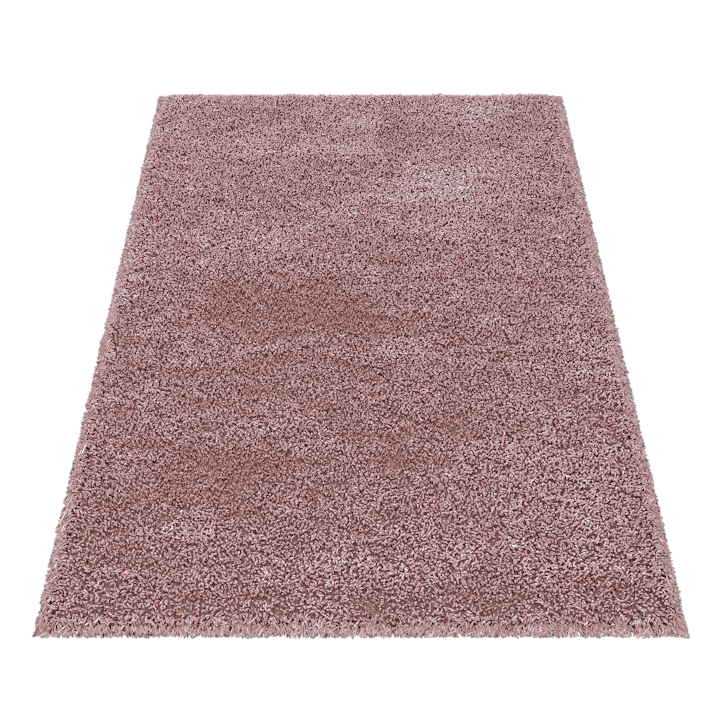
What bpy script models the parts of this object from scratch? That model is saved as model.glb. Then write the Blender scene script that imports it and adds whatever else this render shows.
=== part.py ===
"""A rectangular shag rug lying flat: one piece of pile cloth, 1.6 m wide and 2.3 m long.

The rug is one lumpy slab of long cut pile. Its top is a grid of tufts with soft hollows between
them, its shoulder falls off all round, and the yarns at the rim hang out and down in locks that
lie on the floor with their tips. The underside is one flat face at z = 0.

+X runs along the width, +Y along the length and +Z up. The origin is the middle of the underside.
Everything is in metres.
"""

import math
import random

import bmesh
import bpy
from mathutils import Vector, noise

# Driving sizes. The pile height is the mean height of the top.
RUG_WIDTH = 1.600
RUG_LENGTH = 2.300
PILE_HEIGHT = 0.041

# The top is a grid of cells, each with a crown in its middle. An edge cell carries locks.
CELLS_ACROSS = 27
CELLS_ALONG = 38
LOCKS_PER_CELL = 2

# The rings from the edge of the top down to the underside: how far each lies inside the rug's
# outline, its height as a share of the pile height, the radius of its corners, and how uneven
# it is.
RINGS = {
    "top": {"inside": 0.060, "height": 1.00, "corner": 0.012, "uneven": 0.0040},
    "shoulder": {"inside": 0.039, "height": 0.86, "corner": 0.022, "uneven": 0.0030},
    "lock_top": {"inside": 0.024, "height": 0.58, "corner": 0.028, "uneven": 0.0020},
    "lock_foot": {"inside": 0.022, "height": 0.18, "corner": 0.028, "uneven": 0.0008},
    "underside": {"inside": 0.030, "height": 0.00, "corner": 0.024, "uneven": 0.0000},
}

# The lumps of the top are layers of noise, and each cell's crown stands out of them.
LUMPS = (
    {"wavelength": 0.310, "height": 0.0030},
    {"wavelength": 0.120, "height": 0.0045},
)
CROWN_HEIGHT = (-0.0020, 0.0045)

# The middle of the underside is one flat face with these corners.
UNDERSIDE_MIDDLE = ((-0.50, -0.70), (0.00, 0.80), (0.50, -0.70))

# A lock is its root face pushed out in steps. Reach is a share of the lock's whole reach, and
# width and depth are shares of its root's.
LOCK_STEPS = (
    {"reach": 0.58, "width": 0.86, "depth": 0.72},
    {"reach": 1.00, "width": 0.46, "depth": 0.34},
)
LOCK_SHARE = 0.70
LOCK_SHARE_UNEVEN = 0.03
LOCK_REACH = (0.015, 0.023)
LOCK_FULLNESS = (0.85, 1.15)
LOCK_SWAY_DEG = 24.0
SEED = 27

PILE_COLOUR = (0.40, 0.222, 0.228, 1.0)
PILE_ROUGHNESS = 0.9
SHARP_ANGLE_DEG = 60.0


def clear_scene():
    for obj in list(bpy.data.objects):
        bpy.data.objects.remove(obj, do_unlink=True)


def pile_material():
    material = bpy.data.materials.new("dusty_rose_pile")
    material.use_nodes = True
    shader = material.node_tree.nodes["Principled BSDF"]
    shader.inputs["Base Color"].default_value = PILE_COLOUR
    shader.inputs["Roughness"].default_value = PILE_ROUGHNESS
    shader.inputs["Metallic"].default_value = 0.0
    return material


def boundary(bm):
    return [edge for edge in bm.edges if edge.is_boundary]


def unevenness(point, wavelength):
    """A smooth value between about -1 and 1 that depends only on the place."""
    return 2 * noise.noise(Vector((point.x, point.y, 0.0)) / wavelength)


def lump(point):
    """How far the top stands over or under the pile height at this place."""
    return sum(
        layer["height"] / 2 * unevenness(point, layer["wavelength"]) for layer in LUMPS
    )


def on_outline(point, ring):
    """The point moved level onto the ring's outline, a rectangle with round corners."""
    half = Vector((RUG_WIDTH, RUG_LENGTH)) / 2 - Vector((1, 1)) * ring["inside"]
    x, y = abs(point.x), abs(point.y)
    if x * RUG_LENGTH >= y * RUG_WIDTH:
        x, y = half.x, min(y * half.x / x, half.y)
    else:
        x, y = min(x * half.y / y, half.x), half.y
    centre = half - Vector((1, 1)) * ring["corner"]
    if x > centre.x and y > centre.y:
        x, y = centre + (Vector((x, y)) - centre).normalized() * ring["corner"]
    return Vector((math.copysign(x, point.x), math.copysign(y, point.y), point.z))


def add_top(bm, rng):
    """The top as a grid of cells with crowns, out to the top ring."""
    ring = RINGS["top"]
    width = RUG_WIDTH - 2 * ring["inside"]
    length = RUG_LENGTH - 2 * ring["inside"]
    bmesh.ops.create_grid(bm, x_segments=CELLS_ACROSS, y_segments=CELLS_ALONG, size=0.5)
    crowns = bmesh.ops.poke(bm, faces=bm.faces)["verts"]
    for vertex in bm.verts:
        vertex.co = Vector((vertex.co.x * width, vertex.co.y * length, PILE_HEIGHT))
        vertex.co.z += lump(vertex.co)
    for vertex in crowns:
        vertex.co.z += rng.uniform(*CROWN_HEIGHT)


def add_ring(bm, name):
    """Extrudes the open edge onto the named ring and gives back the band of new faces."""
    ring = RINGS[name]
    made = bmesh.ops.extrude_edge_only(bm, edges=boundary(bm))["geom"]
    for vertex in (item for item in made if isinstance(item, bmesh.types.BMVert)):
        vertex.co = on_outline(vertex.co, ring)
        vertex.co.z = PILE_HEIGHT * ring["height"]
        vertex.co.z += ring["uneven"] * unevenness(vertex.co, LUMPS[1]["wavelength"])
    return [item for item in made if isinstance(item, bmesh.types.BMFace)]


def cut_for_locks(bm, rng):
    """Splits each open edge into lock roots and gaps, in turn and unevenly wide."""
    ring = RINGS["lock_top"]
    for edge in boundary(bm):
        start, end = (vertex.co.copy() for vertex in edge.verts)
        cuts = bmesh.ops.subdivide_edges(bm, edges=[edge], cuts=2 * LOCKS_PER_CELL - 1)
        new = [item for item in cuts["geom_inner"] if isinstance(item, bmesh.types.BMVert)]
        new.sort(key=lambda vertex: (vertex.co - start).length)
        for number, vertex in enumerate(new, start=1):
            locks_passed, in_lock = divmod(number, 2)
            share = (locks_passed + in_lock * LOCK_SHARE) / LOCKS_PER_CELL
            share += rng.uniform(-LOCK_SHARE_UNEVEN, LOCK_SHARE_UNEVEN)
            vertex.co = on_outline(start.lerp(end, share), ring)


def face_width(face):
    return max((edge.verts[0].co - edge.verts[1].co).xy.length for edge in face.edges)


def lock_roots(band):
    """The wide faces of the band under the shoulder."""
    mean_width = RUG_WIDTH / CELLS_ACROSS / LOCKS_PER_CELL / 2
    return [face for face in band if face_width(face) > mean_width]


def add_underside(bm):
    """Closes the underside round one large flat face in its middle."""
    rim = boundary(bm)
    corners = [bm.verts.new((x, y, 0.0)) for x, y in UNDERSIDE_MIDDLE]
    middle = bm.faces.new(corners)
    bmesh.ops.triangle_fill(bm, edges=rim + list(middle.edges), use_beauty=True)


def grow_lock(bm, root, rng):
    """Pushes a root face out and down, so that the lock's end lies level on the floor."""
    out = (root.normal * Vector((1, 1, 0))).normalized()
    along = Vector((-out.y, out.x, 0))
    middle = root.calc_center_median()
    foot = min(vertex.co.z for vertex in root.verts)
    depth = max(vertex.co.z for vertex in root.verts) - foot
    places = [((v.co - middle).dot(along), v.co.z > middle.z) for v in root.verts]
    sway = math.tan(math.radians(rng.uniform(-LOCK_SWAY_DEG, LOCK_SWAY_DEG)))
    reach = rng.uniform(*LOCK_REACH)
    fullness = rng.uniform(*LOCK_FULLNESS)
    face = root
    for step in LOCK_STEPS:
        face = bmesh.ops.extrude_discrete_faces(bm, faces=[face])["faces"][0]
        centre = middle + (out + along * sway) * reach * step["reach"]
        for vertex, (offset, is_upper) in zip(face.verts, places, strict=True):
            vertex.co = centre + along * offset * step["width"]
            vertex.co.z = is_upper * depth * step["depth"] * fullness


def fit_to_size(bm):
    """Centres the mesh on the origin and brings its box to the driving sizes."""
    xs = [vertex.co.x for vertex in bm.verts]
    ys = [vertex.co.y for vertex in bm.verts]
    middle = Vector((min(xs) + max(xs), min(ys) + max(ys), 0)) / 2
    bmesh.ops.translate(bm, verts=bm.verts, vec=-middle)
    scale = Vector((RUG_WIDTH / (max(xs) - min(xs)), RUG_LENGTH / (max(ys) - min(ys)), 1))
    bmesh.ops.scale(bm, verts=bm.verts, vec=scale)


def build_rug():
    rng = random.Random(SEED)
    bm = bmesh.new()
    add_top(bm, rng)
    add_ring(bm, "shoulder")
    add_ring(bm, "lock_top")
    cut_for_locks(bm, rng)
    band = add_ring(bm, "lock_foot")
    add_ring(bm, "underside")
    add_underside(bm)
    bmesh.ops.recalc_face_normals(bm, faces=bm.faces)
    for root in lock_roots(band):
        grow_lock(bm, root, rng)
    fit_to_size(bm)
    bmesh.ops.triangulate(bm, faces=bm.faces)
    mesh = bpy.data.meshes.new("rug")
    bm.to_mesh(mesh)
    bm.free()
    mesh.shade_smooth()
    mesh.set_sharp_from_angle(angle=math.radians(SHARP_ANGLE_DEG))
    mesh.materials.append(pile_material())
    rug = bpy.data.objects.new("rug", mesh)
    bpy.context.scene.collection.objects.link(rug)


clear_scene()
build_rug()
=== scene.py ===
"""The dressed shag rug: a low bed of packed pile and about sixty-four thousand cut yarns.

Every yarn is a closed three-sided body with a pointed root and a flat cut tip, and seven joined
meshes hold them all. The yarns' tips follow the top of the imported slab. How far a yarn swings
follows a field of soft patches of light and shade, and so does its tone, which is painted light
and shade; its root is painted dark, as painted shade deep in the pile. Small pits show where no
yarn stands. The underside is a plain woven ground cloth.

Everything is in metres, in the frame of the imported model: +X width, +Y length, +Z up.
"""

import math

import bmesh
import bpy
import numpy as np
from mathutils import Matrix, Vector, noise
from mathutils.bvhtree import BVHTree


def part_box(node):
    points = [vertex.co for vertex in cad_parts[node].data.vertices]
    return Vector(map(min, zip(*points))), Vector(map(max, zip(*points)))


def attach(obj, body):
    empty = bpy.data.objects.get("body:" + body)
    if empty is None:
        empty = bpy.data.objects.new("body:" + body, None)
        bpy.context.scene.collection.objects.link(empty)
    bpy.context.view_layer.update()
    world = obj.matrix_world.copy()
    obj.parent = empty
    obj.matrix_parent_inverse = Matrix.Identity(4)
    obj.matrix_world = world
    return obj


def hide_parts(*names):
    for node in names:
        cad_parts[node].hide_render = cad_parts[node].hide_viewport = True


NODE = "rug"
UV_MAP = "OFBake"
SEED = 4

# The camera of the photograph
CAMERA_PLACE = (-0.002, -2.241, 2.250)
CAMERA_PITCH_DEG = 48.40
CAMERA_LENS_MM = 49.56
CAMERA_NEAR = 0.05
SENSOR_MM = 36.0

# The yarns of the open field stand on a grid, each moved by up to this share of its spacing. A
# yarn is a chain of points, at these places from its root at 0 to its tip at 1.
FIELD_SPACING = 0.0076
SPACING_JITTER = 0.45
FIELD_INSET = 0.032
FIELD_STEPS = (0.0, 0.42, 0.76, 1.0)
FIELD_RADIUS = (0.0020, 0.0026)
FIELD_PIECES = 5
# Their tips are uneven, and stay a little inside the outline and over the floor.
TIP_UNEVEN = 0.0020
FIELD_TIP_INSET = 0.004
FIELD_TIP_LOWEST = 0.004
# The half width of a cut tip as a share of the yarn's
TIP_SHARE = 0.85

# A yarn swings by this mean length and spread: its belly back by one share of it, and its tip out
# by another. The direction turns slowly over the rug, and by chance from yarn to yarn, in radians.
# A noise is given by the size of its features along X and Y, and by a layer of its own.
FIELD_SWING = (0.0090, 0.0040)
SWING_LIMITS = (0.002, 0.026)
SWING_ACROSS = 1.25
SWING_TIP = 0.55
SWING_BACK = 0.60
SWING_CHANCE = 1.4
SWING_NOISE = {"across": 0.05, "along": 0.05, "layer": 11.3}
# The yarns swing further in the light patches.
SWING_WITH_PATCH = 0.2
# Each belly is moved by chance too, and pulls the yarn up from this far over its tip or the slab.
FIELD_CURL = 0.0045
BELLY_RISE = 0.001

# Neighbouring yarns cling together in clumps that stand higher or lower. The higher clumps are
# painted lighter and the lower ones darker: painted light and shade.
CLUMP_NOISE = {"across": 0.021, "along": 0.021, "layer": 9.4}
CLUMP_HEIGHT = 0.0030
CLUMP_SHADING = 0.45
# Here and there no yarn stands in its place and a pit shows: at a share of the places, at more of
# them in the dark patches and fewer in the light ones, and at this share of them at most.
GAP_SHARE = 0.045
GAP_SPREAD = 0.75
GAP_MOST = 0.22

# Within this band inside the outline, the yarns fall outward more and more, by up to this much,
# and their bellies by a share of that.
RIM_BAND = 0.130
RIM_FALL = 0.022
RIM_FALL_POWER = 1.5
BELLY_FALL = 0.4
# Yarns this near a side fall out over it, and near two sides over the corner between them.
OUTWARD_REACH = 0.14

# The rows of yarns that hang over the rim, and of low ones under them: how far their roots and
# tips lie inside the outline in the first row and the last, and how far the tips stray along it
RIM_ROWS = {
    "roots": (0.050, 0.026),
    "tips": (0.028, 0.002),
    "rows": 5,
    "spacing": 0.0094,
    "sway": 0.0220,
}
SKIRT_ROWS = {
    "roots": (0.033, 0.026),
    "tips": (0.004, 0.000),
    "rows": 4,
    "spacing": 0.0068,
    "sway": 0.0130,
}
RIM_STEPS = (0.0, 0.35, 0.68, 1.0)
RIM_RADIUS = (0.0022, 0.0030)
# From this far off, their tips fan out towards a corner.
CORNER_FAN = 0.060
# The directions in which the four sides face
SIDES = ((1.0, 0.0), (0.0, 1.0), (-1.0, 0.0), (0.0, -1.0))

# Rim yarns bend over at this share of the way to their tips, moved by chance. What pulls them up
# there lies this far over the slab.
RIM_BEND_SHARE = 0.45
RIM_BEND_CHANCE = 0.0090
RIM_LIFT = 0.004
SKIRT_LIFT = 0.002
# The heights of their roots and tips. A low yarn's middle line never comes below the last of them.
RIM_ROOT_SHARE = 0.45
RIM_ROOT_MOST = 0.018
RIM_TIP_LOWEST = 0.0035
SKIRT_ROOTS_Z = (0.004, 0.012)
SKIRT_TIPS_Z = (0.003, 0.007)
SKIRT_LOWEST = 0.0034

# Rim yarns gather in locks, which make the outline wavy. Along the rim, a noise runs over the
# place on a side as its X and the number of the side as its Y.
LOCK_WIDTH = 0.036
LOCK_PULL = 0.0045
LOCK_DRIFT = 0.7
DRIFT_NOISE = {"across": 0.070, "along": 1.0, "layer": 4.4}
LOCK_STRAY = 0.014
STRAY_NOISE = {"across": 0.035, "along": 1.0, "layer": 6.1}
OUTLINE_WAVE = 0.0060
OUTLINE_RAGGED = 0.0008
WAVE_MEAN = 0.5
WAVE_SWING = 0.3
WAVE_NOISE = {"across": 0.035, "along": 1.0, "layer": 8.8}

# The bed is a grid of cells whose top stands at a share of the slab's height, a little uneven.
# The yarns' roots stand lower in it by another share.
BED_SHARE = 0.46
ROOT_SINK = 0.06
BED_CELLS = (64, 92)
BED_INSET = 0.020
BED_UNEVEN = 0.0015
BED_RIM_Z = 0.004
BED_FOOT_Z = 0.0005

# A yarn's colour is one cell of a map: dark to light along a row, brown to lilac up a column.
TONES = 8
HUES = 4
CELL_MARGIN = 0.06
# A yarn's place on both scales, from 0 to 1: the mean, what its patch adds as painted light and
# shade, and what chance adds
TONE_MIX = {"mean": 0.50, "patch": 0.11, "own": 0.14}
HUE_MIX = {"mean": 0.50, "patch": 0.06, "own": 0.20}
HUE_CHANCE = 0.12

# The soft patches where the pile looks lighter or darker as its lean meets the light: middle, half
# sizes, and tone from about -1 for dark to 1 for light. The yarns swing further and fewer pits show
# in the light patches, and the yarns' tone is painted lighter there and darker in the dark ones:
# painted light and shade.
PATCHES = (
    {"x": 0.28, "y": 0.53, "across": 0.20, "along": 0.15, "tone": 1.0},
    {"x": 0.25, "y": 0.32, "across": 0.14, "along": 0.07, "tone": 0.5},
    {"x": -0.03, "y": -0.10, "across": 0.13, "along": 0.10, "tone": -0.9},
    {"x": -0.27, "y": -0.06, "across": 0.36, "along": 0.17, "tone": -0.8},
    {"x": 0.30, "y": -0.15, "across": 0.09, "along": 0.08, "tone": -0.5},
    {"x": -0.50, "y": -0.33, "across": 0.23, "along": 0.05, "tone": -0.7},
    {"x": -0.30, "y": -0.68, "across": 0.23, "along": 0.12, "tone": -0.9},
    {"x": -0.50, "y": -0.74, "across": 0.30, "along": 0.12, "tone": -0.5},
    {"x": 0.10, "y": -0.65, "across": 0.09, "along": 0.13, "tone": -0.5},
    {"x": 0.29, "y": -0.51, "across": 0.13, "along": 0.05, "tone": -0.5},
    {"x": -0.33, "y": -0.23, "across": 0.16, "along": 0.04, "tone": 0.7},
    {"x": 0.14, "y": -0.24, "across": 0.11, "along": 0.05, "tone": 0.8},
    {"x": 0.16, "y": -0.41, "across": 0.10, "along": 0.05, "tone": 0.4},
    {"x": -0.42, "y": -0.88, "across": 0.13, "along": 0.04, "tone": 0.5},
    {"x": -0.07, "y": -0.97, "across": 0.15, "along": 0.08, "tone": 0.9},
    {"x": 0.53, "y": -0.78, "across": 0.28, "along": 0.30, "tone": 0.4},
    {"x": 0.68, "y": -0.30, "across": 0.09, "along": 0.13, "tone": 0.6},
    {"x": -0.01, "y": 0.93, "across": 0.10, "along": 0.13, "tone": 0.5},
    {"x": 0.40, "y": 1.00, "across": 0.25, "along": 0.08, "tone": 0.7},
    {"x": 0.12, "y": 0.88, "across": 0.10, "along": 0.14, "tone": -0.5},
    {"x": -0.35, "y": 0.97, "across": 0.26, "along": 0.10, "tone": -0.3},
    {"x": -0.10, "y": 0.67, "across": 0.30, "along": 0.03, "tone": -0.7},
    {"x": -0.17, "y": 0.74, "across": 0.45, "along": 0.03, "tone": 0.5},
    {"x": 0.53, "y": 0.72, "across": 0.24, "along": 0.06, "tone": 0.4},
    {"x": -0.35, "y": 0.26, "across": 0.18, "along": 0.07, "tone": 0.3},
    {"x": -0.03, "y": 0.12, "across": 0.10, "along": 0.05, "tone": 0.4},
    {"x": 0.70, "y": 0.17, "across": 0.08, "along": 0.08, "tone": -0.5},
    {"x": 0.33, "y": -1.06, "across": 0.16, "along": 0.03, "tone": -0.3},
    {"x": -0.33, "y": -1.06, "across": 0.17, "along": 0.03, "tone": -0.3},
    {"x": 0.00, "y": -1.09, "across": 1.50, "along": 0.03, "tone": -0.15},
    {"x": -0.25, "y": -0.32, "across": 0.80, "along": 0.50, "tone": -0.35},
    {"x": 0.40, "y": -0.95, "across": 0.50, "along": 0.15, "tone": 0.30},
)
PATCH_STRENGTH = 2.75
# A patch has faded by this power of e at its half size, and noise pushes its outline about.
PATCH_FADE = 2
WARP_NOISES = (
    {"across": 0.16, "along": 0.08, "layer": 1.3},
    {"across": 0.16, "along": 0.08, "layer": 2.9},
)
WARP_REACH = 0.02
# Finer streaks lie over the patches.
STREAKS = (
    {"tone": 0.30, "noise": {"across": 0.180, "along": 0.045, "layer": 3.1}},
    {"tone": 0.15, "noise": {"across": 0.300, "along": 0.160, "layer": 7.7}},
    {"tone": 0.25, "noise": {"across": 0.070, "along": 0.032, "layer": 5.2}},
)

# Painted light: the pile is painted lighter where it falls off at the rim, and towards the far end.
RIM_LIGHTENING = (
    {"band": 0.090, "tone": 0.90},
    {"band": 0.150, "tone": 0.20},
)
FAR_LIGHTENING = 0.30
# The low yarns under the rim lie in its shade, and their tone is painted darker: painted shade.
SKIRT_SHADE = -0.60
# Light and dark yarns lie side by side at the rim.
RIM_MIX = 3.0

scene = bpy.context.scene
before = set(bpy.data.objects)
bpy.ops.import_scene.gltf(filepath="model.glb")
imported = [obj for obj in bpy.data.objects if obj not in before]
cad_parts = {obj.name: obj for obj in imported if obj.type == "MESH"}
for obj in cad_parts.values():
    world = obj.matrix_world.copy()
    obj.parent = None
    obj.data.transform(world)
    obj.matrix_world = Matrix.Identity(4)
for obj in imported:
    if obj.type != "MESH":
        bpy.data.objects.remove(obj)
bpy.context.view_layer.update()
SLAB_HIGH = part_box(NODE)[1]
HALF_WIDTH = SLAB_HIGH.x
HALF_LENGTH = SLAB_HIGH.y
HALF_SIZE = np.array([HALF_WIDTH, HALF_LENGTH])
rng = np.random.default_rng(SEED)


def add_object(name, data):
    obj = bpy.data.objects.new(name, data)
    scene.collection.objects.link(obj)
    return obj


# ---------------------------------------------------------------- the slab's top and its patches

HEIGHT_STEP = 0.010
# Points are kept this many steps short of the grid's size, so that each lies inside a cell.
GRID_END = 1.001
# The heights are taken straight down from here.
OVERHEAD_Z = 1.0


def slab_heights():
    """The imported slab's top on a regular grid over its whole box, 0 where it has none."""
    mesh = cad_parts[NODE].data
    tree = BVHTree.FromPolygons(
        [vertex.co for vertex in mesh.vertices], [list(p.vertices) for p in mesh.polygons]
    )
    columns = round(2 * HALF_WIDTH / HEIGHT_STEP) + 1
    rows = round(2 * HALF_LENGTH / HEIGHT_STEP) + 1
    heights = np.zeros((rows, columns))
    for row in range(rows):
        for column in range(columns):
            x = -HALF_WIDTH + column * HEIGHT_STEP
            y = -HALF_LENGTH + row * HEIGHT_STEP
            hit = tree.ray_cast(Vector((x, y, OVERHEAD_Z)), Vector((0, 0, -1)))[0]
            heights[row, column] = 0 if hit is None else hit.z
    return heights


HEIGHTS = slab_heights()


def top_at(xy):
    """The slab's top height at each point, from the grid."""
    rows, columns = HEIGHTS.shape
    place = np.clip((xy + HALF_SIZE) / HEIGHT_STEP, 0, (columns - GRID_END, rows - GRID_END))
    cell = place.astype(int)
    column, row = cell.T
    right, up = (place - cell).T
    low = HEIGHTS[row, column] * (1 - right) + HEIGHTS[row, column + 1] * right
    high = HEIGHTS[row + 1, column] * (1 - right) + HEIGHTS[row + 1, column + 1] * right
    return low * (1 - up) + high * up


def edge_distance(xy):
    return (HALF_SIZE - np.abs(xy)).min(axis=1)


def smooth_noise(xy, across, along, layer):
    """A smooth field, mostly between -1 and 1, with features of that size along X and Y."""
    return np.array([2 * noise.noise(Vector((x / across, y / along, layer))) for x, y in xy])


def patches(xy):
    """How lighter than the mean the pile looks at each point, mostly between -3 and 3: painted
    light and shade.
    """
    warp = np.column_stack([smooth_noise(xy, **field) for field in WARP_NOISES])
    value = np.zeros(len(xy))
    for streak in STREAKS:
        value += streak["tone"] * smooth_noise(xy, **streak["noise"])
    for patch in PATCHES:
        middle = np.array([patch["x"], patch["y"]])
        size = np.array([patch["across"], patch["along"]])
        away = (xy + WARP_REACH * warp - middle) / size
        value += patch["tone"] * np.exp(-PATCH_FADE * (away**2).sum(axis=1))
    # The far end and the rim are painted lighter: painted light.
    value = PATCH_STRENGTH * value + FAR_LIGHTENING * xy[:, 1] / HALF_LENGTH
    for rim in RIM_LIGHTENING:
        value += rim["tone"] * np.clip(1 - edge_distance(xy) / rim["band"], 0, 1)
    return value


# ---------------------------------------------------------------- yarns as tubes

# No vector is divided by a length under this.
SHORTEST = 1e-9
# A level direction that a yarn hardly ever runs in. The way round each yarn is measured from it.
ASKEW = np.array([1.0, 0.3, 0.0])
THIRD_TURN = 2 * math.pi / 3


def unit(vectors):
    return vectors / np.maximum(np.linalg.norm(vectors, axis=-1, keepdims=True), SHORTEST)


def bezier(start, control, end, steps):
    """Points on one quadratic curve a yarn: an array of yarns by points by 3."""
    share = np.array(steps)[None, :, None]
    a, b, c = start[:, None, :], control[:, None, :], end[:, None, :]
    return a * (1 - share) ** 2 + 2 * b * share * (1 - share) + c * share**2


def yarn_faces(steps):
    """The faces of one yarn and their corners' places in its cell.

    A yarn has a root point, rings of three points, and a tip of two, flat where it was cut.
    """
    faces, places = [], []

    def ring(number, side):
        return 1 + (number - 1) * 3 + side % 3

    for side in range(3):
        u0, u1 = side / 3, (side + 1) / 3
        faces.append((0, ring(1, side + 1), ring(1, side)))
        places.append((((u0 + u1) / 2, 0.0), (u1, steps[1]), (u0, steps[1])))
        for j in range(1, len(steps) - 2):
            low, high = steps[j], steps[j + 1]
            lower = (ring(j, side), ring(j, side + 1))
            upper = (ring(j + 1, side + 1), ring(j + 1, side))
            faces.append(lower + upper)
            places.append(((u0, low), (u1, low), (u1, high), (u0, high)))
    last, foot = len(steps) - 2, steps[-2]
    first, second, third = (ring(last, side) for side in range(3))
    tip, other_tip = third + 1, third + 2
    faces.append((first, second, tip))
    places.append(((0, foot), (1 / 3, foot), (1 / 6, 1)))
    faces.append((second, third, other_tip, tip))
    places.append(((1 / 3, foot), (2 / 3, foot), (2 / 3, 1), (1 / 6, 1)))
    faces.append((third, first, tip, other_tip))
    places.append(((2 / 3, foot), (1, foot), (1, 1), (2 / 3, 1)))
    return faces, places


def yarn_points(paths, radii):
    """The points of each yarn, in the order that its faces count them in."""
    count = len(paths)
    tangent = np.empty_like(paths)
    tangent[:, 1:-1] = paths[:, 2:] - paths[:, :-2]
    tangent[:, 0] = paths[:, 1] - paths[:, 0]
    tangent[:, -1] = paths[:, -1] - paths[:, -2]
    tangent = unit(tangent)[:, :, None, :]
    side = unit(np.cross(tangent, ASKEW))
    other = np.cross(tangent, side)
    radius = rng.uniform(*radii, count)[:, None, None, None]
    turn = rng.uniform(0, 2 * math.pi, count)[:, None, None, None]

    def around(angles):
        angle = turn + np.array(angles)[None, None, :, None]
        return radius * (side * np.cos(angle) + other * np.sin(angle))

    centres = paths[:, :, None, :]
    rings = (centres + around((0, THIRD_TURN, 2 * THIRD_TURN)))[:, 1:-1]
    tips = (centres + TIP_SHARE * around((THIRD_TURN / 2, 2 * THIRD_TURN)))[:, -1]
    return np.concatenate([paths[:, :1], rings.reshape(count, -1, 3), tips], axis=1)


def yarn_mesh(name, paths, steps, radii, cells):
    """One joined mesh of closed yarns along the paths."""
    count = len(paths)
    verts = yarn_points(paths, radii)
    faces, places = yarn_faces(steps)
    loops_one = np.array([corner for face in faces for corner in face])
    uv_one = np.array([uv for face in places for uv in face])
    sizes_one = np.array([len(face) for face in faces])
    starts_one = np.concatenate([[0], np.cumsum(sizes_one)[:-1]])
    loops = (loops_one[None, :] + np.arange(count)[:, None] * verts.shape[1]).ravel()
    starts = (starts_one[None, :] + np.arange(count)[:, None] * len(loops_one)).ravel()
    inner = CELL_MARGIN + uv_one * (1 - 2 * CELL_MARGIN)
    uv = (cells[:, None, :] + inner[None, :, :]) / np.array([TONES, HUES])

    mesh = bpy.data.meshes.new(name)
    mesh.vertices.add(verts.shape[0] * verts.shape[1])
    mesh.vertices.foreach_set("co", verts.ravel())
    mesh.loops.add(len(loops))
    mesh.loops.foreach_set("vertex_index", loops)
    mesh.polygons.add(len(starts))
    mesh.polygons.foreach_set("loop_start", starts)
    layer = mesh.uv_layers.new(name=UV_MAP)
    layer.data.foreach_set("uv", uv.ravel())
    mesh.update(calc_edges=True)
    mesh.shade_smooth()
    return add_object(name, mesh)


# ---------------------------------------------------------------- where the yarns stand and lean


def pick_cells(patch):
    """The tone and the hue of each yarn. Its hue follows its patch less than its tone does."""
    own = rng.normal(0, 1, len(patch))
    tone, hue = (
        mix["mean"] + mix["patch"] * patch + mix["own"] * own for mix in (TONE_MIX, HUE_MIX)
    )
    hue += rng.normal(0, HUE_CHANCE, len(patch))
    shares = np.stack([tone, hue], axis=1)
    cells = np.array([TONES, HUES])
    return np.clip((shares * cells).astype(int), 0, cells - 1)


def jittered(points, spacing):
    return points + rng.uniform(-1, 1, points.shape) * SPACING_JITTER * spacing


def outward(xy):
    """Unit vectors that point out over the nearest rim, and round the corners."""
    return unit(np.maximum(np.abs(xy) - (HALF_SIZE - OUTWARD_REACH), 0) * np.sign(xy))


def within_outline(xy, inset):
    return np.clip(xy, inset - HALF_SIZE, HALF_SIZE - inset)


def grid_points(spacing, inset):
    x, y = (np.linspace(-end, end, int(2 * end / spacing)) for end in HALF_SIZE - inset)
    return jittered(np.stack(np.meshgrid(x, y), axis=-1).reshape(-1, 2), spacing)


def swing_vectors(xy, patch):
    """The level stretch and direction that each yarn's upper part swings across."""
    count = len(xy)
    angle = smooth_noise(xy, **SWING_NOISE) * math.pi + rng.normal(0, SWING_CHANCE, count)
    length = np.clip(rng.normal(*FIELD_SWING, count), *SWING_LIMITS)
    length *= np.exp(SWING_WITH_PATCH * patch)
    return np.stack([SWING_ACROSS * np.cos(angle), np.sin(angle)], axis=1) * length[:, None]


def field_yarns():
    """Yarns that swing across their roots, and near the rim start to fall outward."""
    xy = grid_points(FIELD_SPACING, FIELD_INSET)
    patch = patches(xy)
    clump = smooth_noise(xy, **CLUMP_NOISE)
    bare = np.minimum(GAP_SHARE * np.exp(-GAP_SPREAD * (patch + clump)), GAP_MOST)
    standing = rng.random(len(xy)) > bare
    xy, patch, clump = xy[standing], patch[standing], clump[standing]
    count = len(xy)
    swing = swing_vectors(xy, patch)
    near = np.clip(1 - edge_distance(xy) / RIM_BAND, 0, 1)[:, None]
    fall = outward(xy) * RIM_FALL * near**RIM_FALL_POWER
    tip_xy = within_outline(xy + SWING_TIP * swing + fall, FIELD_TIP_INSET)
    uneven = CLUMP_HEIGHT * clump + rng.normal(0, TIP_UNEVEN, count)
    root = np.column_stack([xy, top_at(xy) * (BED_SHARE - ROOT_SINK)])
    tip = np.column_stack([tip_xy, np.maximum(top_at(tip_xy) + uneven, FIELD_TIP_LOWEST)])
    curl = rng.normal(0, FIELD_CURL, (count, 2))
    belly_xy = xy - SWING_BACK * swing + BELLY_FALL * fall + curl
    belly_z = np.maximum(top_at(belly_xy), tip[:, 2]) + BELLY_RISE
    paths = bezier(root, np.column_stack([belly_xy, belly_z]), tip, FIELD_STEPS)
    # The yarns' tone is painted lighter in light patches and high clumps, darker in dark patches
    # and low clumps: painted light and shade.
    return paths, pick_cells(patch + CLUMP_SHADING * clump)


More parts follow.
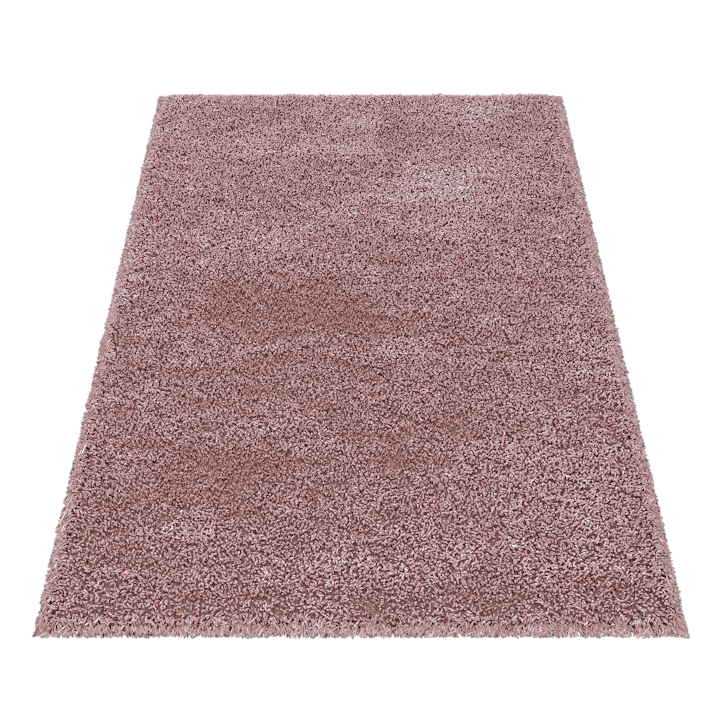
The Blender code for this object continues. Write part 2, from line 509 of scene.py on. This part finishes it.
def rim_row(side, root_in, tip_in, spacing, sway):
    """Root and tip points of one row of yarns along one side, pulled together in locks."""
    out = np.array(SIDES[side])
    along = np.array([-out[1], out[0]])
    half_out, half_along = np.abs(out) @ HALF_SIZE, np.abs(along) @ HALF_SIZE
    place = np.arange(root_in - half_along, half_along - root_in, spacing)
    count = len(place)
    place = jittered(place, spacing)
    root_in = jittered(np.full(count, root_in), spacing)
    line = np.column_stack([place, np.full(count, side)])
    phase = 2 * math.pi * (place / LOCK_WIDTH + LOCK_DRIFT * smooth_noise(line, **DRIFT_NOISE))
    wave = WAVE_MEAN - WAVE_SWING * np.cos(phase) - WAVE_SWING * smooth_noise(line, **WAVE_NOISE)
    tip_in = np.maximum(tip_in + rng.normal(0, OUTLINE_RAGGED, count), 0)
    tip_in = np.maximum(tip_in + OUTLINE_WAVE * wave, 0)
    fan = np.clip((np.abs(place) + root_in - half_along) / CORNER_FAN + 1, 0, 1)
    tip_place = place + np.sign(place) * fan * (root_in - tip_in)
    tip_place += rng.normal(0, sway, count) - LOCK_PULL * np.sin(phase)
    tip_place += LOCK_STRAY * smooth_noise(line, **STRAY_NOISE)
    tip_place = np.clip(tip_place, tip_in - half_along, half_along - tip_in)
    roots = along * place[:, None] + out * (half_out - root_in)[:, None]
    tips = along * tip_place[:, None] + out * (half_out - tip_in)[:, None]
    return roots, tips


def rim_places(roots, tips, rows, spacing, sway):
    """Root and tip points of rows of yarns along all four sides."""
    made = []
    for side in range(len(SIDES)):
        for row in range(rows):
            share = row / (rows - 1)
            root_in = roots[0] + (roots[1] - roots[0]) * share
            tip_in = tips[0] + (tips[1] - tips[0]) * share
            made.append(rim_row(side, root_in, tip_in, spacing, sway))
    return (np.concatenate(points) for points in zip(*made, strict=True))


def rim_curves(xy, root_z, tip_xy, tip_z, lift):
    """Yarns that rise from their roots and bend over to their tips."""
    bend = rng.normal(0, RIM_BEND_CHANCE, xy.shape)
    middle = xy + (tip_xy - xy) * RIM_BEND_SHARE + bend
    control = np.column_stack([middle, np.maximum(top_at(middle), root_z) + lift])
    root, tip = np.column_stack([xy, root_z]), np.column_stack([tip_xy, tip_z])
    return bezier(root, control, tip, RIM_STEPS)


def rim_yarns():
    """Yarns that hang out and down over the rim."""
    xy, tip_xy = rim_places(**RIM_ROWS)
    count = len(xy)
    root_z = np.minimum(top_at(xy) * RIM_ROOT_SHARE, RIM_ROOT_MOST)
    tip_z = np.maximum(top_at(tip_xy) + rng.normal(0, TIP_UNEVEN, count), RIM_TIP_LOWEST)
    paths = rim_curves(xy, root_z, tip_xy, tip_z, RIM_LIFT)
    # The rim yarns' tone takes painted light and shade from their patches and the rim, and chance.
    return paths, pick_cells(patches(tip_xy) + rng.normal(0, RIM_MIX, count))


def skirt_yarns():
    """Low yarns that lie out over the floor under the rim."""
    xy, tip_xy = rim_places(**SKIRT_ROWS)
    count = len(xy)
    root_z = rng.uniform(*SKIRT_ROOTS_Z, count)
    tip_z = rng.uniform(*SKIRT_TIPS_Z, count)
    paths = rim_curves(xy, root_z, tip_xy, tip_z, SKIRT_LIFT)
    paths[..., 2] = np.maximum(paths[..., 2], SKIRT_LOWEST)
    # Their tone is painted darker than the rim's: painted shade under the rim.
    return paths, pick_cells(patches(tip_xy) + rng.normal(SKIRT_SHADE, RIM_MIX, count))


# ---------------------------------------------------------------- materials


def new_material(name):
    material = bpy.data.materials.new(name)
    material.use_nodes = True
    tree = material.node_tree
    return material, tree, tree.nodes["Principled BSDF"]


def math_node(tree, operation, *values):
    """An operation on one to three values, each a socket or a number."""
    node = tree.nodes.new("ShaderNodeMath")
    node.operation = operation
    for index, value in enumerate(values):
        if isinstance(value, (int, float)):
            node.inputs[index].default_value = value
        else:
            tree.links.new(value, node.inputs[index])
    return node.outputs[0]


def mix_node(tree, factor, first, second):
    """Mixes two colours, each a socket or a constant."""
    node = tree.nodes.new("ShaderNodeMix")
    node.data_type = "RGBA"
    tree.links.new(factor, node.inputs["Factor"])
    for name, colour in (("A", first), ("B", second)):
        if isinstance(colour, tuple):
            node.inputs[name].default_value = colour
        else:
            tree.links.new(colour, node.inputs[name])
    return node.outputs["Result"]


def ramp(tree, value, stops):
    """A colour for the value, from stops of a place and a colour."""
    node = tree.nodes.new("ShaderNodeValToRGB")
    elements = node.color_ramp.elements
    while len(elements) < len(stops):
        elements.new(0.5)
    for element, (position, colour) in zip(elements, stops, strict=True):
        element.position = position
        element.color = (*colour, 1.0)
    tree.links.new(value, node.inputs["Fac"])
    return node.outputs["Color"]


def add_bump(tree, shader, height, relief):
    bump = tree.nodes.new("ShaderNodeBump")
    bump.inputs["Strength"].default_value = relief["strength"]
    bump.inputs["Distance"].default_value = relief["depth"]
    tree.links.new(height, bump.inputs["Height"])
    tree.links.new(bump.outputs["Normal"], shader.inputs["Normal"])


# The tip colours from the darkest tone to the lightest, in the brownest and the most lilac hue,
# and the dark colour that all roots share: painted shade deep in the pile
BROWN_STOPS = (
    (0.00, (0.292, 0.088, 0.086)),
    (0.35, (0.505, 0.184, 0.181)),
    (0.65, (0.665, 0.340, 0.345)),
    (1.00, (0.760, 0.590, 0.630)),
)
LILAC_STOPS = (
    (0.00, (0.270, 0.108, 0.116)),
    (0.35, (0.450, 0.215, 0.238)),
    (0.65, (0.605, 0.375, 0.425)),
    (1.00, (0.735, 0.620, 0.690)),
)
ROOT_SHADE_COLOUR = (0.180, 0.070, 0.068)
# Where the root's painted shade ends along a yarn and where the tip's colour begins
ROOT_SHADE_SHARE = 0.40
TIP_START = 1.00
# A yarn is twisted from this many plies, and they wind round it this often.
PLIES = 2
PLY_TURNS = 4.0
PLY_RELIEF = {"strength": 0.4, "depth": 0.0005}
YARN_ROUGHNESS = 0.55
YARN_SPECULAR = 0.6

# The imported pile between the roots, painted dark: painted shade deep in the pile
SPECKLE_SCALE = 260.0
SHADE_SPECKLE_STOPS = (
    (0.35, (0.058, 0.020, 0.019)),
    (0.65, (0.160, 0.064, 0.060)),
)
BED_ROUGHNESS = 0.95

# The ground cloth
WEAVE_PITCH = 0.003
WEAVE_STOPS = (
    (0.2, (0.30, 0.20, 0.19)),
    (0.8, (0.46, 0.34, 0.32)),
)
WEAVE_RELIEF = {"strength": 0.5, "depth": 0.0008}
WEAVE_ROUGHNESS = 0.9


def yarn_material():
    """A twisted yarn with painted shade at its root and its cell's colour at its tip."""
    material, tree, shader = new_material("yarn")
    uv = tree.nodes.new("ShaderNodeUVMap")
    uv.uv_map = UV_MAP
    split = tree.nodes.new("ShaderNodeSeparateXYZ")
    tree.links.new(uv.outputs["UV"], split.inputs[0])
    u = math_node(tree, "MULTIPLY", split.outputs["X"], TONES)
    v = math_node(tree, "MULTIPLY", split.outputs["Y"], HUES)
    around, along = math_node(tree, "FRACT", u), math_node(tree, "FRACT", v)
    tone = math_node(tree, "DIVIDE", math_node(tree, "FLOOR", u), TONES - 1)
    hue = math_node(tree, "DIVIDE", math_node(tree, "FLOOR", v), HUES - 1)
    tip = mix_node(tree, hue, ramp(tree, tone, BROWN_STOPS), ramp(tree, tone, LILAC_STOPS))

    shade_fade = tree.nodes.new("ShaderNodeMapRange")
    shade_fade.interpolation_type = "SMOOTHSTEP"
    shade_fade.inputs["From Min"].default_value = ROOT_SHADE_SHARE
    shade_fade.inputs["From Max"].default_value = TIP_START
    tree.links.new(along, shade_fade.inputs["Value"])
    # The root is painted dark: painted shade deep in the pile.
    colour = mix_node(tree, shade_fade.outputs["Result"], (*ROOT_SHADE_COLOUR, 1.0), tip)
    tree.links.new(colour, shader.inputs["Base Color"])

    turns = math_node(tree, "MULTIPLY_ADD", along, PLY_TURNS, around)
    twist = math_node(tree, "SINE", math_node(tree, "MULTIPLY", turns, PLIES * 2 * math.pi))
    add_bump(tree, shader, twist, PLY_RELIEF)
    shader.inputs["Roughness"].default_value = YARN_ROUGHNESS
    shader.inputs["Specular IOR Level"].default_value = YARN_SPECULAR
    return material


def bed_material():
    """The packed pile that shows in the pits, painted dark: painted shade."""
    material, tree, shader = new_material("pile_bed")
    coordinates = tree.nodes.new("ShaderNodeTexCoord")
    speckle = tree.nodes.new("ShaderNodeTexNoise")
    speckle.inputs["Scale"].default_value = SPECKLE_SCALE
    tree.links.new(coordinates.outputs["Object"], speckle.inputs["Vector"])
    # Painted shade: the bed is much darker than the yarns.
    colour = ramp(tree, speckle.outputs["Fac"], SHADE_SPECKLE_STOPS)
    tree.links.new(colour, shader.inputs["Base Color"])
    shader.inputs["Roughness"].default_value = BED_ROUGHNESS
    return material


def woven_material():
    """The underside: the plain weave of the ground cloth, in its bare yarn colour."""
    material, tree, shader = new_material("ground_weave")
    coordinates = tree.nodes.new("ShaderNodeTexCoord")
    split = tree.nodes.new("ShaderNodeSeparateXYZ")
    tree.links.new(coordinates.outputs["Object"], split.inputs[0])
    waves = []
    for axis in ("X", "Y"):
        turn = math_node(tree, "MULTIPLY", split.outputs[axis], math.pi / WEAVE_PITCH)
        waves.append(math_node(tree, "SINE", turn))
    weave = math_node(tree, "MULTIPLY_ADD", math_node(tree, "MULTIPLY", *waves), 0.5, 0.5)
    tree.links.new(ramp(tree, weave, WEAVE_STOPS), shader.inputs["Base Color"])
    add_bump(tree, shader, weave, WEAVE_RELIEF)
    shader.inputs["Roughness"].default_value = WEAVE_ROUGHNESS
    return material


# ---------------------------------------------------------------- pieces


def bed():
    """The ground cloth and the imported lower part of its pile, one lumpy closed sheet."""
    columns, rows = BED_CELLS
    bm = bmesh.new()
    bmesh.ops.create_grid(bm, x_segments=columns, y_segments=rows, size=0.5)
    xy = np.array([vertex.co.xy for vertex in bm.verts]) * 2 * (HALF_SIZE - BED_INSET)
    z = top_at(xy) * BED_SHARE + rng.uniform(-BED_UNEVEN, BED_UNEVEN, len(xy))
    for vertex, place, height in zip(bm.verts, xy, z, strict=True):
        vertex.co = (*place, BED_RIM_Z if vertex.is_boundary else height)
    rim = [edge for edge in bm.edges if edge.is_boundary]
    wall = bmesh.ops.extrude_edge_only(bm, edges=rim)["geom"]
    for vertex in (item for item in wall if isinstance(item, bmesh.types.BMVert)):
        vertex.co.z = BED_FOOT_Z
    bottom = bmesh.ops.holes_fill(bm, edges=[edge for edge in bm.edges if edge.is_boundary])
    for face in bottom["faces"]:
        face.material_index = 1
    bmesh.ops.recalc_face_normals(bm, faces=bm.faces)
    mesh = bpy.data.meshes.new("pile_bed")
    bm.to_mesh(mesh)
    bm.free()
    return add_object("pile_bed", mesh)


def finish_piece(obj, *materials):
    for material in materials:
        obj.data.materials.append(material)
    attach(obj, "root")
    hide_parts(NODE)


def pile():
    """All the yarns: the open field in strips from the front to the far end, and the rim's."""
    material = yarn_material()
    paths, cells = field_yarns()
    order = np.argsort(paths[:, 0, 1], kind="stable")
    made = []
    for number, chosen in enumerate(np.array_split(order, FIELD_PIECES), start=1):
        name = f"pile_{number}"
        made.append(yarn_mesh(name, paths[chosen], FIELD_STEPS, FIELD_RADIUS, cells[chosen]))
    for name, build in (("rim_pile", rim_yarns), ("rim_skirt", skirt_yarns)):
        paths, cells = build()
        made.append(yarn_mesh(name, paths, RIM_STEPS, RIM_RADIUS, cells))
    for obj in made:
        finish_piece(obj, material)
    return made


# ---------------------------------------------------------------- floor, light and camera

WHITE = (1.0, 1.0, 1.0, 1.0)
BLACK = (0.0, 0.0, 0.0, 1.0)

# The floor reaches this far each way, and lies just under the rug.
FLOOR_REACH = 40.0
FLOOR_DROP = 0.0005

# How strong the soft light is from the floor up to level, and from straight above
SKY_LOW = 0.54
SKY_HIGH = 2.35

# The wide lamp, which points at the middle of the rug
LAMP_PLACE = (-0.8, -0.3, 3.6)
LAMP_SIZE = 2.0
LAMP_POWER_W = 146.0


def floor():
    """A plain white floor that shows as white, but throws no light back up at the pile."""
    mesh = bpy.data.meshes.new("floor")
    size = FLOOR_REACH
    corners = [(-size, -size, 0), (size, -size, 0), (size, size, 0), (-size, size, 0)]
    mesh.from_pydata(corners, [], [(0, 1, 2, 3)])
    obj = add_object("floor", mesh)
    obj.location.z = -FLOOR_DROP
    material, _, shader = new_material("floor_white")
    shader.inputs["Base Color"].default_value = BLACK
    shader.inputs["Specular IOR Level"].default_value = 0.0
    shader.inputs["Emission Color"].default_value = WHITE
    shader.inputs["Emission Strength"].default_value = 1.0
    mesh.materials.append(material)
    obj.visible_diffuse = False
    obj.visible_glossy = False


def sky():
    """A soft white surround that is strongest overhead."""
    world = bpy.data.worlds.new("studio")
    scene.world = world
    world.use_nodes = True
    tree = world.node_tree
    background = tree.nodes["Background"]
    background.inputs["Color"].default_value = WHITE
    coordinates = tree.nodes.new("ShaderNodeTexCoord")
    split = tree.nodes.new("ShaderNodeSeparateXYZ")
    strength = tree.nodes.new("ShaderNodeMapRange")
    strength.inputs["To Min"].default_value = SKY_LOW
    strength.inputs["To Max"].default_value = SKY_HIGH
    tree.links.new(coordinates.outputs["Generated"], split.inputs[0])
    tree.links.new(split.outputs["Z"], strength.inputs["Value"])
    tree.links.new(strength.outputs["Result"], background.inputs["Strength"])


def lamp():
    """One wide soft lamp high over the rug, a little to the left and the front."""
    data = bpy.data.lights.new("key", "AREA")
    data.shape = "RECTANGLE"
    data.size = LAMP_SIZE
    data.size_y = LAMP_SIZE
    data.energy = LAMP_POWER_W
    key = add_object("key", data)
    key.location = LAMP_PLACE
    key.rotation_euler = (-Vector(LAMP_PLACE)).to_track_quat("-Z", "Y").to_euler()


def camera():
    data = bpy.data.cameras.new("camera")
    data.lens = CAMERA_LENS_MM
    data.sensor_width = SENSOR_MM
    data.clip_start = CAMERA_NEAR
    obj = add_object("camera", data)
    obj.location = CAMERA_PLACE
    obj.rotation_euler = (math.radians(90 - CAMERA_PITCH_DEG), 0.0, 0.0)
    scene.camera = obj


# ---------------------------------------------------------------- the photograph's tones

# The photograph's tone scale: soft in the lights and steep in the shadows, white left white
TONE_CURVE = (
    (0.14, 0.167),
    (0.22, 0.287),
    (0.34, 0.437),
    (0.46, 0.532),
    (0.56, 0.594),
    (0.71, 0.679),
    (0.81, 0.741),
    (0.94, 0.828),
)
# The reds stand higher than that in the middle of the scale.
RED_CURVE = (
    (0.33, 0.343),
    (0.42, 0.454),
    (0.50, 0.559),
    (0.62, 0.686),
    (0.73, 0.778),
    (0.85, 0.872),
)
# A curves node holds the red curve first and the one for all colours last.
RED_CHANNEL = 0
ALL_CHANNELS = 3
SHARPENING = 0.11
DISPLAY_GAMMA = 2.2


def grade():
    """The photograph's tone scale and mild sharpening, both on the values that a display shows."""
    scene.use_nodes = True
    tree = scene.node_tree
    tree.nodes.clear()
    render = tree.nodes.new("CompositorNodeRLayers")
    display = tree.nodes.new("CompositorNodeGamma")
    display.inputs["Gamma"].default_value = 1 / DISPLAY_GAMMA
    tones = tree.nodes.new("CompositorNodeCurveRGB")
    for channel, curve in ((ALL_CHANNELS, TONE_CURVE), (RED_CHANNEL, RED_CURVE)):
        for position, value in curve:
            tones.mapping.curves[channel].points.new(position, value)
    tones.mapping.update()
    crisp = tree.nodes.new("CompositorNodeFilter")
    crisp.filter_type = "SHARPEN_DIAMOND"
    crisp.inputs["Fac"].default_value = SHARPENING
    linear = tree.nodes.new("CompositorNodeGamma")
    linear.inputs["Gamma"].default_value = DISPLAY_GAMMA
    composite = tree.nodes.new("CompositorNodeComposite")
    chain = (render, display, tones, crisp, linear, composite)
    for before, after in zip(chain, chain[1:]):
        tree.links.new(before.outputs["Image"], after.inputs["Image"])


camera()
sky()
lamp()
floor()
ground = bed()
finish_piece(ground, bed_material(), woven_material())
yarns = pile()

scene.view_settings.view_transform = "Standard"
grade()
# Denoising would smear the single yarns.
scene.cycles.use_denoising = False
